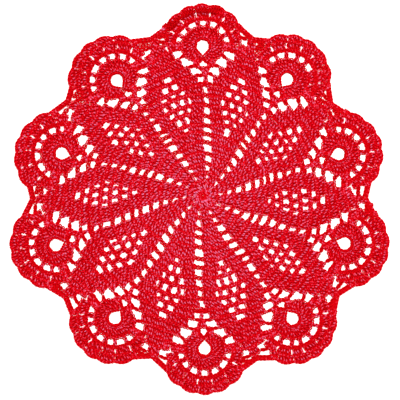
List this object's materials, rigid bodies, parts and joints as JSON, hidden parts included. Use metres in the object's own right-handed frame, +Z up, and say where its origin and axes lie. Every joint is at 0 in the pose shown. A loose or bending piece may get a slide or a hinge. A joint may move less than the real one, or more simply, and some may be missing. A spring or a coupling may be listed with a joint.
{
  "type": "crocheted lace doily",
  "caption": "Round crocheted cotton lace doily lying flat, with close-stitched leaves, ladders of gaps and a scalloped edge of fans; covers and protects a table top.",
  "frame": {"origin": "on the surface it lies on, below the middle of its bounding box", "axes": "+Z up out of the cloth, +Y towards the fan at the top of the picture, +X to its right"},
  "size_m": [0.303, 0.3136, 0.002],
  "materials": {
    "cotton": "matt crocheted cotton thread with a slight sheen"
  },
  "bodies": {
    "root": {"doily": "cotton"}
  },
  "joints": []
}
